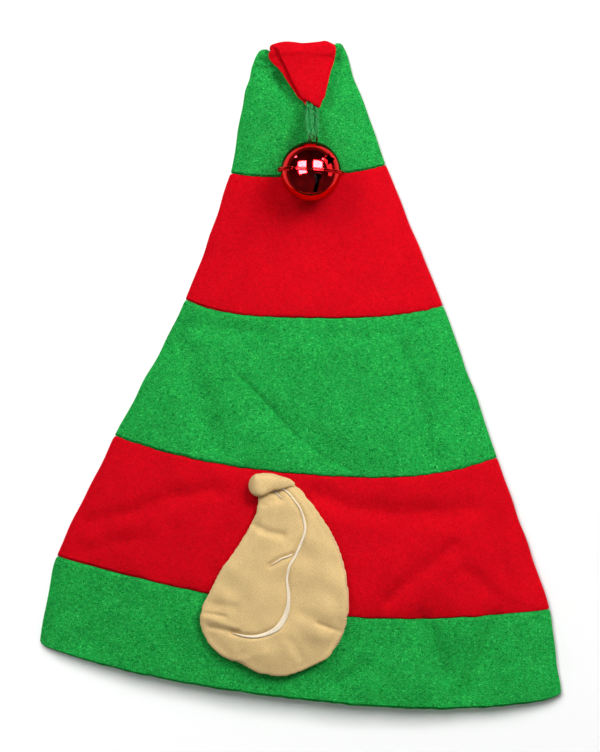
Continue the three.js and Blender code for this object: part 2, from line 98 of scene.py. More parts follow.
CREASES = [
    ([(-37.4, 1.7), (-26, -9), (-17.3, -18.4), (0, -37.1), (14.4, -47.2), (28.8, -54.4)], 1.0, 1.3),
    ([(-72, 24), (-59, -2.6), (-56, -25.6), (-45, -43)], 3.0, 8),
    ([(-63, 29), (-42, 26.5), (-23, 24)], 1.7, 4),
    ([(8, 24), (35, 22), (55, 24)], 1.2, 4.5),
    ([(58, 16), (66.1, -2.6), (70, -22.7), (74, -51.5)], 2.0, 4.5),
    ([(-122, -84), (-98, -79), (-75, -70), (-50, -66)], 2.3, 5),
    ([(-128, -103), (-106, -96), (-90, -94)], 1.4, 4.5),
    ([(11.5, -67), (29, -76), (57, -79), (100, -78)], 2.6, 6.5),
    ([(88, -98), (66, -115), (51, -129)], 2.2, 4.6),
    ([(110, -68), (113, -94), (117, -114)], 2.0, 5),
    ([(96, -113), (113, -127), (124, -135)], 1.9, 4.6),
    ([(70.5, -139), (76, -153), (82.7, -172)], 3.2, 5.5),
    ([(114, -139), (109, -154), (103.2, -166), (95, -180)], 3.6, 6),
    ([(121, -139.5), (122.5, -145)], 1.2, 2.2),
    ([(-101, -121), (-108, -137), (-119, -152)], 2.8, 8),
    ([(-121, -115), (-133, -138)], 1.8, 5.5),
    ([(22, -176), (30, -172), (36, -166)], 1.3, 3.4),
    ([(-23.5, 182), (-19.5, 180.6), (-15.5, 178.8), (-11.5, 177.6)], 2.4, 1.2),
    ([(-26.5, 177.4), (-21, 176.7), (-15, 177)], 1.6, 1.1),
    ([(-21, 173.5), (-15, 171), (-9.5, 166)], 1.8, 3.6),
    ([(25, 189), (23, 186.5), (21, 184), (20, 181)], 2.2, 1.3),
    ([(22, 181), (19.5, 168), (15, 156)], 2.2, 4),
    ([(-12, 170), (-6, 157), (-2, 145), (-0.5, 132), (-1, 121)], 3.0, 4.2),
]  # line of the crease, its depth and its half width
GREEN = (0.007, 0.268, 0.039)
RED = (0.55, 0.002, 0.0078)


def smooth(table, column, where):
    """Values of a smooth curve through one column of a table whose rows go along the hat."""
    at, values = table[:, 0], table[:, column]
    i = np.clip(np.searchsorted(at, where, side="right") - 1, 0, len(at) - 2)
    before, after = np.maximum(i - 1, 0), np.minimum(i + 2, len(at) - 1)
    span = at[i + 1] - at[i]
    slope_a = (values[i + 1] - values[before]) / (at[i + 1] - at[before])
    slope_b = (values[after] - values[i]) / (at[after] - at[i])
    share = (where - at[i]) / span
    s = np.clip(share, 0, 1)
    inside = (
        values[i] * (1 + 2 * s) * (1 - s) ** 2
        + slope_a * span * s * (1 - s) ** 2
        + values[i + 1] * s * s * (3 - 2 * s)
        + slope_b * span * s * s * (s - 1)
    )
    return inside + span * (slope_a * np.minimum(share, 0) + slope_b * np.maximum(share - 1, 0))


def ripples(x, y, length, seed):
    """A smooth random relief, mostly between -1 and 1, with bumps of about that length."""
    chance = np.random.default_rng(seed)
    total = 0
    for turn, phase, stretch in chance.uniform((0, 0, 0.7), (math.tau, math.tau, 1.6), (9, 3)):
        wave = (x * math.cos(turn) + y * math.sin(turn)) * math.tau / (length * stretch)
        total = total + np.sin(wave + phase)
    return total / 4


def nearness(x, y, line, width):
    """1 on a line through points, falling to 0 about twice that width away from it."""
    best = np.full(np.shape(x), 1e9)
    for (ax, ay), (bx, by) in zip(line, line[1:]):
        long = (bx - ax) ** 2 + (by - ay) ** 2
        share = np.clip(((x - ax) * (bx - ax) + (y - ay) * (by - ay)) / long, 0, 1)
        best = np.minimum(best, np.hypot(x - ax - share * (bx - ax), y - ay - share * (by - ay)))
    return np.exp(-((best / width) ** 2))


def spread(y):
    """Middle line and half width of the lying hat at a height."""
    along = y / HAT_LENGTH + 0.5
    left = smooth(OUTLINE, 1, along) * HALF_MOUTH + 0.35 * ripples(y, 0, 21, 3)
    right = smooth(OUTLINE, 2, along) * HALF_MOUTH + 0.35 * ripples(y, 0, 24, 4)
    return (right - left) / 2, (right + left) / 2


def front_rise(x, y):
    """How far the front felt stands above the floor before it curves down to its sides."""
    rise = smooth(SECTIONS, 1, y / HAT_LENGTH + 0.5) * HAT_RISE
    for across, along, turn, length, width, depth in DENTS:
        dx, dy = x - across * HALF_MOUTH, y - (along - 0.5) * HAT_LENGTH
        c, s = math.cos(math.radians(turn)), math.sin(math.radians(turn))
        u = (dx * c + dy * s) / (length * HAT_LENGTH)
        v = (dy * c - dx * s) / (width * HAT_LENGTH)
        rise = rise - depth * HAT_RISE * np.exp(-u * u - v * v)
    return rise


def hollows(x, y):
    """How far the creases and ripples of the front felt lie below that."""
    deep = 0.8 * ripples(x, y, 46, 1) + 0.3 * ripples(x, y, 17, 2)
    for line, depth, width in CREASES:
        deep = deep + depth * nearness(x, y, line, width)
    return deep


def front_z(x, y, across, inset):
    """Height of the front felt, and of what lies that far inside it."""
    fold = smooth(SECTIONS, 2, y / HAT_LENGTH + 0.5) * SIDE_FOLD
    dome = np.maximum(1 - across**2, 0)
    return fold + (front_rise(x, y) - fold - inset) * dome**0.7 - hollows(x, y) * dome**0.25


def on_front(x, y):
    """Height of the front felt, which carries the ear, the tip and the bell."""
    middle, half = spread(y)
    return front_z(x, y, np.clip((x - middle) / half, -1, 1), 0)


EAR_MIDDLE = (-14.4, -120.1)
EAR_HALF = (43, 56)
EAR_BACK_THICK = 5.5
LIFT_FULL = 1.12
LIFT_END = 1.75
FLAT_SHARE = 0.8


def back_z(x, y, across, inset):
    """Height of the back felt: on the floor, up to the side folds, and over the back ear."""
    fold = smooth(SECTIONS, 2, y / HAT_LENGTH + 0.5) * SIDE_FOLD
    u = np.maximum(0, (np.abs(across) - FLAT_SHARE) / (1 - FLAT_SHARE))
    away = np.hypot((x - EAR_MIDDLE[0]) / EAR_HALF[0], (y - EAR_MIDDLE[1]) / EAR_HALF[1])
    away = np.clip((away - LIFT_FULL) / (LIFT_END - LIFT_FULL), 0, 1)
    lift = (EAR_BACK_THICK + GAP) * (1 - away * away * (3 - 2 * away))
    return fold - (fold - inset) * np.sqrt(1 - u * u) + lift * (1 - u)


def seam_y(number, across):
    """Height of a seam, from the left side fold at -1 to the right one at 1."""
    left, right, sag, peak, power = SEAMS[number]
    reach = np.where(across < peak, 1 + peak, 1 - peak)
    bow = 1 - np.abs((across - peak) / reach) ** power
    along = left + (right - left) * (across + 1) / 2 - sag * bow
    return (along - 0.5) * HAT_LENGTH + 0.22 * ripples(across * HALF_MOUTH, 0, 11, 20 + number)


def grid_piece(name, columns, rows, place):
    """A grid whose points go to place(u, v), sewn together where its edges meet."""
    bpy.ops.object.select_all(action="DESELECT")
    bpy.ops.mesh.primitive_grid_add(x_subdivisions=columns, y_subdivisions=rows, size=1)
    piece = bpy.context.object
    piece.name = piece.data.name = name
    at = np.empty(3 * len(piece.data.vertices), np.float32)
    piece.data.vertices.foreach_get("co", at)
    at = at.reshape(-1, 3).astype(float) + 0.5
    moved = np.stack(place(at[:, 0], at[:, 1]), axis=-1) * MM
    piece.data.vertices.foreach_set("co", moved.astype(np.float32).ravel())
    bpy.ops.object.mode_set(mode="EDIT")
    bpy.ops.mesh.select_all(action="SELECT")
    bpy.ops.mesh.remove_doubles(threshold=1e-6)
    bpy.ops.mesh.normals_make_consistent(inside=False)
    bpy.ops.object.mode_set(mode="OBJECT")
    bpy.ops.object.shade_smooth()
    return piece


def finished(piece, material, node):
    """Gives a piece its material, and lets it stand for its CAD node on the hat's body."""
    piece.data.materials.clear()
    piece.data.materials.append(material)
    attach(piece, "root")
    if node:
        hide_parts(node)
    return piece


# How far off a seam each row of a turned edge is, and how deep it lies
TURNED_EDGE = [(0.06, 2.9), (0.06, 1.7), (0.1, 0.85), (0.24, 0.42), (0.5, 0.17), (0.9, 0.04)]
SEAM_ALLOWANCE = [(0.06, 2.9), (1.6, 2.9), (2.1, 2.4), (3.2, 2)]
HEM_FOLD = [
    (0.9, 4.2), (0.3, 3.7), (0, 2.9), (0.1, 2), (0.5, 1.25), (1.2, 0.7), (2.2, 0.3), (3.4, 0.06),
]
HEM_ALLOWANCE = [(0.9, 4.2), (17, 4.2), (17.5, 3), (18.6, 2)]


def band_rows(lowest, rows):
    """Rows of one felt strip, out over its right side and back inside it.
    Each gives its share of the strip, how far off a seam it is, and how deep it lies."""
    edge, inside = (HEM_FOLD, HEM_ALLOWANCE) if lowest else (TURNED_EDGE, SEAM_ALLOWANCE)
    outer = [(0, off, deep) for off, deep in edge]
    outer += [(k / rows, 0, 0) for k in range(1, rows)]
    outer += [(1, -off, deep) for off, deep in reversed(TURNED_EDGE)]
    inner = [(1, -off, deep) for off, deep in SEAM_ALLOWANCE[1:]]
    inner += [(1 - k / 9, 0, FELT) for k in range(1, 9) if not (lowest and k > 6)]
    inner += [(0, off, deep) for off, deep in reversed(inside)]
    return np.array(outer + inner)


FRONT_SHARE = 0.68
CORNER = 3


def felt_band(name, number, rows, columns, material):
    """One ring of felt. Most of its columns are in its front, which shows the finer creases."""
    steps = band_rows(number == 0, rows)

    def place(u, v):
        row = v * (len(steps) - 1)
        share, off, deep = (np.interp(row, np.arange(len(steps)), steps[:, k]) for k in range(3))
        front = u <= FRONT_SHARE
        turn = np.where(front, u / FRONT_SHARE, 1 + (u - FRONT_SHARE) / (1 - FRONT_SHARE))
        across = np.cos(math.pi * turn)
        low, high = seam_y(number, across), seam_y(number + 1, across)
        y = low + (high - low) * share + off
        if number == 0:
            y = y + CORNER * np.abs(across) ** 70 * (1 - np.clip(share, 0, 1)) ** 8
        middle, half = spread(y)
        bulge = 0.3 * np.sin(math.pi * np.clip(share, 0, 1)) ** 0.3
        x = middle + across * (half - deep + bulge)
        seam = np.minimum(y - low if number else 99, high - y)
        pucker = 0.16 * (1 + ripples(x, y, 7, 30 + number)) * np.exp(-np.abs(seam) / 3)
        pull = 0.7 * np.exp(-np.abs(seam) / 4.5) + pucker
        above = front_z(x, y, across, deep + pull)
        below = np.maximum(back_z(x, y, across, deep), 0)
        return x, y, np.where(front, above, below)

    piece = grid_piece(name + "_felt", columns, len(steps) - 1, place)
    return finished(piece, material, name)


def node(tree, kind, inputs=None, **settings):
    """A shader node with its settings, whose inputs are values or outputs of other nodes."""
    made = tree.nodes.new("ShaderNode" + kind)
    for name, value in settings.items():
        setattr(made, name, value)
    for name, value in (inputs or {}).items():
        if isinstance(value, bpy.types.NodeSocket):
            tree.links.new(value, made.inputs[name])
        else:
            made.inputs[name].default_value = value
    return made


def new_material(name):
    """A new material, with its tree and its shader."""
    material = bpy.data.materials.new(name)
    material.use_nodes = True
    return material, material.node_tree, material.node_tree.nodes["Principled BSDF"]


def felt_fibres():
    """Matted wool: short curled strands, pores between them, and soft cloudy patches."""
    tree = bpy.data.node_groups.new("felt_fibres", "ShaderNodeTree")
    for output in ("Strands", "Pores", "Clouds"):
        tree.interface.new_socket(output, in_out="OUTPUT", socket_type="NodeSocketFloat")
    end = tree.nodes.new("NodeGroupOutput")
    place = node(tree, "TexCoord").outputs["Object"]
    curl = node(tree, "TexNoise", {"Vector": place, "Scale": 380, "Detail": 2})
    bend = node(tree, "VectorMath", {0: curl.outputs["Color"], "Scale": 0.0045}, operation="SCALE")
    bent = node(tree, "VectorMath", {0: place, 1: bend.outputs["Vector"]}).outputs["Vector"]
    strands = None
    for turn in (0.2, 1.0, 1.9, 2.7):
        lay = node(tree, "Mapping", {
            "Vector": bent, "Rotation": (0, 0, turn), "Location": (turn, 2 * turn, 0),
            "Scale": (430, 2300, 2300),
        })
        noise = node(tree, "TexNoise", {"Vector": lay.outputs["Vector"], "Scale": 1, "Detail": 1})
        fac = noise.outputs["Fac"]
        if strands is not None:
            fac = node(tree, "Math", {0: strands, 1: fac}, operation="MAXIMUM").outputs[0]
        strands = fac
    shown = node(tree, "MapRange", {"Value": strands, "From Min": 0.58, "From Max": 0.82})
    pores = node(tree, "TexNoise", {"Vector": bent, "Scale": 820, "Detail": 3, "Roughness": 0.6})
    clouds = node(tree, "TexNoise", {"Vector": place, "Scale": 75, "Detail": 5, "Roughness": 0.62})
    tree.links.new(shown.outputs[0], end.inputs["Strands"])
    tree.links.new(pores.outputs["Fac"], end.inputs["Pores"])
    tree.links.new(clouds.outputs["Fac"], end.inputs["Clouds"])
    return tree


FIBRES = felt_fibres()


def felt(name, colour, depth, fuzz, mottle, sheen):
    """Felt of one dye: deeper in its pores, paler on its strands, and a little cloudy."""
    material, tree, shader = new_material(name)
    fibres = node(tree, "Group", node_tree=FIBRES)
    deep = tuple(c * (1 - depth) for c in colour) + (1,)
    full = tuple(c * (1 + 0.35 * depth) for c in colour) + (1,)
    pale = tuple(min(1, c * (1 + fuzz) + 0.035 * fuzz) for c in colour)
    pores = node(tree, "MapRange", {
        "Value": fibres.outputs["Pores"], "From Min": 0.36, "From Max": 0.62,
    })
    body = node(tree, "Mix", {0: pores.outputs[0], 6: deep, 7: full}, data_type="RGBA")
    share = node(tree, "Math", {0: fibres.outputs["Strands"], 1: 0.8}, operation="MULTIPLY")
    fuzzy = node(tree, "Mix", {
        0: share.outputs[0], 6: body.outputs[2], 7: pale + (1,),
    }, data_type="RGBA")
    clouds = node(tree, "MapRange", {
        "Value": fibres.outputs["Clouds"], "From Min": 0.3, "From Max": 0.7,
        "To Min": 1 - mottle, "To Max": 1 + mottle,
    })
    cloudy = node(tree, "VectorMath", {
        0: fuzzy.outputs[2], "Scale": clouds.outputs[0],
    }, operation="SCALE")
    tree.links.new(cloudy.outputs["Vector"], shader.inputs["Base Color"])
    height = node(tree, "Math", {
        0: fibres.outputs["Strands"], 1: 0.7, 2: fibres.outputs["Pores"],
    }, operation="MULTIPLY_ADD")
    bump = node(tree, "Bump", {"Height": height.outputs[0], "Strength": 0.6, "Distance": 0.0007})
    tree.links.new(bump.outputs["Normal"], shader.inputs["Normal"])
    shader.inputs["Roughness"].default_value = 1
    shader.inputs["Specular IOR Level"].default_value = 0
    shader.inputs["Sheen Weight"].default_value = sheen
    shader.inputs["Sheen Roughness"].default_value = 0.6
    shader.inputs["Sheen Tint"].default_value = pale + (1,)
    return material


green_felt = felt("green_felt", GREEN, 0.46, 1.5, 0.12, 0.1)
red_felt = felt("red_felt", RED, 0.2, 0.2, 0.06, 0.02)
bands = [
    felt_band("hem_band", 0, 64, 560, green_felt),
    felt_band("lower_red_band", 1, 76, 520, red_felt),
    felt_band("middle_green_band", 2, 92, 460, green_felt),
    felt_band("upper_red_band", 3, 84, 340, red_felt),
    felt_band("top_green_band", 4, 88, 300, green_felt),
]

# Red tip
# The point of the cone is red felt. It is folded over to the front at its root and lies on
# the top green band, with a pleat along its left edge and the cord coming out of its end.
TIP_THICK = 5.4
TIP_TURN = 3.8
TIP_ROOT = TIP_THICK / 2 + GAP
TIP_CREST = 186
TIP_LOWEST = 153.9
TIP_LEFT = np.array([
    (-193, -16.5), (-189.2, -17.4), (-188.1, -17.05), (-187.1, -16.5), (-185.9, -17.6),
    (-184.1, -18), (-182.4, -17.8), (-180.6, -16.7), (-178.6, -14.9), (-176.7, -12.7),
    (-174, -10.5), (-169.2, -7.5), (-165.2, -4.8), (-161.3, -2.2), (-158.2, 0), (-156.2, 1.8),
    (-153.5, 3.6),
])
TIP_RIGHT = np.array([
    (-193, 19), (-190.3, 20.2), (-187.2, 20.7), (-183.7, 20.25), (-179.7, 19.4), (-175.8, 18),
    (-168.7, 16.3), (-163.5, 15), (-160, 14.3), (-156.9, 12.8), (-155.1, 12.1), (-153.5, 11.3),
])
TIP_PLEAT = np.array([
    (-193, -19), (-189.2, -18), (-188.4, -15.5), (-187.4, -13.8), (-186.2, -13), (-183.7, -11.9),
    (-181.1, -10.5), (-176.7, -8.3), (-173.1, -6.6), (-169.2, -4.8), (-165.2, -2.6),
    (-162.1, -0.9), (-159.5, 0.9), (-157.7, 3.1), (-156.9, 4.4), (-150, 9),
])
TIP_END = np.array([
    (-2, 158.6), (0, 157.4), (1.8, 156.2), (3.5, 155.1), (4.1, 155.7), (4.7, 157.4),
    (5.2, 157.5), (5.9, 156.4), (7.5, 155.1), (9.25, 154.2), (11.2, 153.7), (12.1, 155),
    (14, 158.5),
])
TIP_HUMPS = np.array([
    (-18, -1.4), (-14.5, -0.9), (-11, -0.4), (-7.5, -0.3), (-3, -0.8), (0.9, -1.4), (4.5, -1.2),
    (8.8, -0.7), (12, -0.2), (13.9, 0.35), (16.5, 0), (19.4, -0.9), (21, -1.4),
])
PLEAT_DROP = 2.3


def tip_place(u, v):
    """The folded tip: out of the cone, over the crest and down the front, u round it."""
    root_part, turn_part = 0.06, 0.26
    angle = math.pi * np.clip((v - root_part) / (turn_part - root_part), 0, 1)
    flap = np.clip((v - turn_part) / (1 - turn_part), 0, 1)
    y = TIP_CREST - 1.5 * (1 - np.clip(v / root_part, 0, 1)) + TIP_TURN * np.sin(angle)
    y = y - flap * (TIP_CREST - TIP_LOWEST)
    along = np.where(flap > 0, -y, -TIP_CREST - TIP_TURN * np.sin(angle))
    left, right = smooth(TIP_LEFT, 1, along), smooth(TIP_RIGHT, 1, along)
    middle, half = (left + right) / 2, (right - left) / 2
    across, side = np.cos(math.tau * u), np.sin(math.tau * u)
    x = middle + across * half
    thick = TIP_THICK * (1 - 0.12 * flap) * np.sqrt(1 - np.clip((flap - 0.9) / 0.1, 0, 1) ** 2)
    off = np.sign(side) * np.abs(side) ** 0.55 * thick / 2
    pleat = smooth(TIP_PLEAT, 1, along)
    step = np.clip((x - pleat) / 0.8 + 0.5, 0, 1)
    lower = PLEAT_DROP * (1 - step * step * (3 - 2 * step))
    lower = lower + 0.6 * np.exp(-(((x - pleat + 0.3) / 0.55) ** 2))
    shown = np.clip((v - 0.17) / 0.1, 0, 1) * np.clip((1 - flap) / 0.06, 0, 1) ** 0.5
    off = off + np.where(side < 0, lower * shown, 0) * np.abs(side) ** 0.3
    turned = TIP_ROOT + 2 * TIP_TURN
    z_mid = TIP_ROOT + TIP_TURN * (1 - np.cos(angle))
    resting = on_front(x, y) + 0.8 * np.maximum(hollows(x, y), 0) + TIP_ROOT
    z_mid = np.where(flap > 0, np.maximum(turned * (1 - flap) ** 1.3, resting), z_mid)
    blend = np.clip(flap / 0.12, 0, 1)
    z_mid = np.where(flap > 0, z_mid * blend + turned * (1 - blend), z_mid)
    dy, dz = np.cos(angle), np.sin(angle)
    end = (smooth(TIP_END, 1, x) - TIP_LOWEST) * np.clip((flap - 0.82) / 0.18, 0, 1) ** 1.5
    hump = smooth(TIP_HUMPS, 1, x) * np.sin(angle)
    soft = 0.15 * ripples(x, y, 16, 41) * np.clip(flap * 3, 0, 1)
    return x, y - off * dz + end + hump, z_mid + off * dy + soft


red_tip = grid_piece("red_tip_felt", 260, 170, tip_place)
finished(red_tip, red_felt, "red_tip")

# Bell
# A jingle bell of two pressed brass halves with one rolled flange, lacquered a clear red.
# Its upper half has star-shaped holes, its lower half keyholes, and a steel ball lies inside.
BELL_RADIUS = 17.3
BELL_WALL = 0.9
FLANGE_RADIUS = BELL_RADIUS + 2
RIM_RADIUS = 0.42
BELL_AT = Vector((6.15, 116.8, 0))
BELL_AT.z = sum(corner[2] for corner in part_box("bell_lower_half")) / 2 / MM
BELL_TURN = Matrix.Rotation(math.radians(-3.5), 4, "Z") @ Matrix.Rotation(math.radians(-93.5), 4, "X")
EYE_RADIUS = 3.05
EYE_WIRE = 1.3
EYE_SINK = 1.2
EYE_AT = BELL_RADIUS + EYE_RADIUS - EYE_WIRE / 2 - EYE_SINK


def in_metres(piece, turn=Matrix.Identity(4), at=Vector()):
    """Turns a piece modelled in millimetres at the origin, and sets it down at its place."""
    piece.data.transform(Matrix.Scale(MM, 4) @ Matrix.Translation(at) @ turn)
    piece.data.update()
    return piece


def spun(name, profile, steps=96):
    """A closed profile of (radius, height) points, spun once round the Z axis."""
    bpy.ops.object.select_all(action="DESELECT")
    bpy.ops.mesh.primitive_circle_add(vertices=len(profile), fill_type="NOTHING")
    piece = bpy.context.object
    piece.name = piece.data.name = name
    for vertex, (radius, height) in zip(piece.data.vertices, profile):
        vertex.co = (radius, 0, height)
    bpy.ops.object.mode_set(mode="EDIT")
    bpy.ops.mesh.select_all(action="SELECT")
    bpy.ops.mesh.spin(steps=steps, angle=math.tau, center=(0, 0, 0), axis=(0, 0, 1))
    bpy.ops.mesh.select_all(action="SELECT")
    bpy.ops.mesh.remove_doubles(threshold=0.001)
    bpy.ops.mesh.normals_make_consistent(inside=False)
    bpy.ops.object.mode_set(mode="OBJECT")
    return piece


def prism(outline, depth):
    """An outline in the plane of the floor, pulled up into a solid."""
    bpy.ops.object.select_all(action="DESELECT")
    bpy.ops.mesh.primitive_circle_add(vertices=len(outline), fill_type="NGON")
    piece = bpy.context.object
    for vertex, (x, y) in zip(piece.data.vertices, outline):
        vertex.co = (x, y, 0)
    bpy.ops.object.mode_set(mode="EDIT")
    bpy.ops.mesh.select_all(action="SELECT")
    bpy.ops.mesh.extrude_region_move(TRANSFORM_OT_translate={"value": (0, 0, depth)})
    bpy.ops.mesh.select_all(action="SELECT")
    bpy.ops.mesh.normals_make_consistent(inside=False)
    bpy.ops.object.mode_set(mode="OBJECT")
    return piece


def alone(piece):
    """Makes a piece the active one and the only one selected."""
    bpy.ops.object.select_all(action="DESELECT")
    piece.select_set(True)
    bpy.context.view_layer.objects.active = piece


def combine(piece, other, operation):
    """Cuts another mesh out of a piece, or joins it on, and removes the other."""
    alone(piece)
    boolean = piece.modifiers.new("cut", "BOOLEAN")
    boolean.operation, boolean.object, boolean.solver = operation, other, "EXACT"
    bpy.ops.object.modifier_apply(modifier=boolean.name)
    bpy.data.objects.remove(other)


def cut_hole(half, outline, azimuth, latitude):
    """A hole of that outline through the shell, at an azimuth from the side that faces up."""
    cutter = prism(outline, 2 * BELL_RADIUS)
    aim = Matrix.Rotation(math.radians(90 - latitude), 4, "X")
    cutter.data.transform(Matrix.Rotation(math.radians(azimuth), 4, "Z") @ aim)
    combine(half, cutter, "DIFFERENCE")


def arc(radius, centre, start, end, steps):
    """Points of an arc in a profile, from one angle in degrees to another."""
    angles = [math.radians(start + (end - start) * k / steps) for k in range(steps + 1)]
    return [(centre[0] + radius * math.cos(a), centre[1] + radius * math.sin(a)) for a in angles]


def shell_profile(side):
    """Section of half the shell: inside, the flange with its rolled rim, and outside."""
    inner = BELL_RADIUS - BELL_WALL
    rim = (FLANGE_RADIUS - RIM_RADIUS, 0.5)
    points = [(0, inner)] + arc(inner, (0, 0), 88, 0.5, 30)
    points += arc(RIM_RADIUS, rim, -90, 120, 8)
    points += [(BELL_RADIUS + 0.75, 0.62), (BELL_RADIUS + 0.22, 0.78)]
    points += arc(BELL_RADIUS, (0, 0), 3.6, 88, 30) + [(0, BELL_RADIUS)]
    return [(radius, height * side) for radius, height in points]


def bell_red():
    """Clear red lacquer over bright metal, with faint wear in its gloss, and painted shade: the
    shell's inner face is painted near black and has no coat.
    """
    material, tree, shader = new_material("red_metal")
    place = node(tree, "TexCoord").outputs["Object"]
    haze = node(tree, "TexNoise", {"Vector": place, "Scale": 260, "Detail": 5})
    rough = node(tree, "MapRange", {
        "Value": haze.outputs["Fac"], "From Min": 0.35, "From Max": 0.75,
        "To Min": 0.05, "To Max": 0.12,
    })
    tree.links.new(rough.outputs[0], shader.inputs["Roughness"])
    # Painted shade: inside the shell the colour falls to near black and the coat is taken away.
    middle = tuple(BELL_AT * MM)
    reach = node(tree, "VectorMath", {0: place, 1: middle}, operation="DISTANCE")
    outside = node(tree, "MapRange", {
        "Value": reach.outputs["Value"], "From Min": (BELL_RADIUS - 0.6 * BELL_WALL) * MM,
        "From Max": (BELL_RADIUS - 0.3 * BELL_WALL) * MM,
    })
    lacquer = node(tree, "Mix", {
        0: outside.outputs[0], 6: (0.02, 0.0005, 0.0007, 1), 7: (0.74, 0.004, 0.009, 1),
    }, data_type="RGBA")
    tree.links.new(lacquer.outputs[2], shader.inputs["Base Color"])
    coat = node(tree, "Math", {0: outside.outputs[0], 1: 0.25}, operation="MULTIPLY")
    tree.links.new(coat.outputs[0], shader.inputs["Coat Weight"])
    shader.inputs["Metallic"].default_value = 1
    shader.inputs["Specular Tint"].default_value = (0.5, 0.06, 0.05, 1)
    shader.inputs["Coat Roughness"].default_value = 0.03
    return material


STAR_REACH = 4.5
STAR_WAIST = 0.48
STAR = []
for k in range(10):
    reach = STAR_REACH * (STAR_WAIST if k % 2 else 1)
    angle = math.pi * (k / 5 + 0.5)
    STAR.append((reach * math.cos(angle), reach * math.sin(angle)))
SLOT_HALF = 1.2
SLOT_END = -10
KEYHOLE = arc(2.2, (0, 0), -57, 237, 18) + [(-SLOT_HALF, SLOT_END), (SLOT_HALF, SLOT_END)]

red_metal = bell_red()
upper = spun("bell_upper_shell", shell_profile(1))
for azimuth in (42, 222):
    cut_hole(upper, STAR, azimuth, 22)
lower = spun("bell_lower_shell", shell_profile(-1))
for azimuth in (15, 195):
    cut_hole(lower, KEYHOLE, azimuth, -12)
for half, cad_node in ((upper, "bell_upper_half"), (lower, "bell_lower_half")):
    in_metres(half, BELL_TURN, BELL_AT)
    alone(half)
    bpy.ops.object.shade_smooth_by_angle(angle=math.radians(32))
    finished(half, red_metal, cad_node)

bpy.ops.object.select_all(action="DESELECT")
bpy.ops.mesh.primitive_torus_add(
    major_radius=EYE_RADIUS, minor_radius=0.55, major_segments=48, minor_segments=16,
)
eye = bpy.context.object
eye.name = eye.data.name = "bell_eye_wire"
narrow = Matrix.Diagonal((0.82, 1, 1, 1))
eye.data.transform(Matrix.Translation((0, 0, EYE_AT)) @ narrow @ Matrix.Rotation(math.pi / 2, 4, "X"))
in_metres(eye, BELL_TURN, BELL_AT)
bpy.ops.object.shade_smooth()
# Painted shade: the eye wire is painted near black, partly as a dark wire and partly for the cord's
# shade over it and the dim room it mirrors.
wire_dark_and_painted_shade, _, shader = new_material("wire_dark_and_painted_shade")
shader.inputs["Base Color"].default_value = (0.012, 0.004, 0.003, 1)
shader.inputs["Metallic"].default_value = 1
shader.inputs["Roughness"].default_value = 0.85
finished(eye, wire_dark_and_painted_shade, None)

BALL_RADIUS = 4
BALL_DROP = BELL_RADIUS - BELL_WALL - BALL_RADIUS - GAP
BALL_ASIDE = BALL_DROP * 0.35
bpy.ops.object.select_all(action="DESELECT")
bpy.ops.mesh.primitive_ico_sphere_add(subdivisions=4, radius=BALL_RADIUS)
ball = bpy.context.object
ball.name = ball.data.name = "bell_ball_steel"
ball_at = BELL_AT - Vector((0, BALL_ASIDE, math.sqrt(BALL_DROP**2 - BALL_ASIDE**2)))
in_metres(ball, at=ball_at)
bpy.ops.object.shade_smooth()
steel, tree, shader = new_material("steel")
place = node(tree, "TexCoord").outputs["Object"]
scuffs = node(tree, "TexNoise", {"Vector": place, "Scale": 900, "Detail": 4})
worn = node(tree, "MapRange", {"Value": scuffs.outputs["Fac"], "To Min": 0.15, "To Max": 0.55})
tree.links.new(worn.outputs[0], shader.inputs["Roughness"])
shader.inputs["Base Color"].default_value = (0.42, 0.42, 0.44, 1)
shader.inputs["Metallic"].default_value = 1
finished(ball, steel, "bell_ball")

# Bell cord
# A flat plait of three green satin strands, with a metallic thread looped along its edges. It
# comes out of the tip's end, runs down through the bell's eye, and goes back into the tip.
BELL_DROP = 37.3
CORD_ROUTE = BELL_DROP * np.array([
    (-0.051, 0.48, -0.37), (-0.054, 0.429, -0.346), (-0.055, 0.37, -0.3), (-0.054, 0.306, -0.228),
    (-0.05, 0.241, -0.137), (-0.043, 0.18, -0.043), (-0.032, 0.126, 0.035), (-0.021, 0.078, 0.076),
    (-0.009, 0.035, 0.062), (0, 0.016, 0), (0.009, 0.035, -0.059), (0.019, 0.078, -0.083),
    (0.027, 0.131, -0.134), (0.032, 0.193, -0.214), (0.035, 0.265, -0.306), (0.035, 0.349, -0.391),
    (0.032, 0.429, -0.434), (0.032, 0.492, -0.445),
])
EYE_MIDDLE = BELL_AT + BELL_TURN.to_3x3() @ Vector((0, 0, EYE_AT))
PLAIT_LENGTH = 13
STRAND = 0.88
SWING = 1.35
LIFT = 0.7
LOOP_THREAD = 0.14
LOOP_RADIUS = 0.42
LOOP_PITCH = 1.9
LOOPS_AT = 2.15
ROOT = 5


def along_route(points, count):
    """Evenly spaced points of a smooth curve through the points, with the length so far."""
    keys = np.arange(len(points), dtype=float)
    table = np.column_stack([keys, points])
    fine = np.linspace(0, len(points) - 1, 40 * len(points))
    dense = np.stack([smooth(table, k, fine) for k in (1, 2, 3)], axis=-1)
    steps = np.linalg.norm(np.diff(dense, axis=0), axis=1)
    run = np.concatenate([[0], np.cumsum(steps)])
    even = np.linspace(0, run[-1], count)
    return np.stack([np.interp(even, run, dense[:, k]) for k in range(3)], axis=-1), even


def along_line(line, count):
    """The same for a line of points on the floor."""
    return along_route(np.column_stack([line, np.zeros(len(line))]), count)


def carried(line, first_side=(1, 0, 0)):
    """Directions along, beside and above a line, which turn with it as little as they can."""
    ahead = np.gradient(line, axis=0)
    ahead /= np.linalg.norm(ahead, axis=1)[:, None]
    side = np.zeros_like(line)
    last = np.array(first_side, float)
    for k, way in enumerate(ahead):
        last = last - way * (last @ way)
        last /= np.linalg.norm(last)
        side[k] = last
    return ahead, side, np.cross(ahead, side)


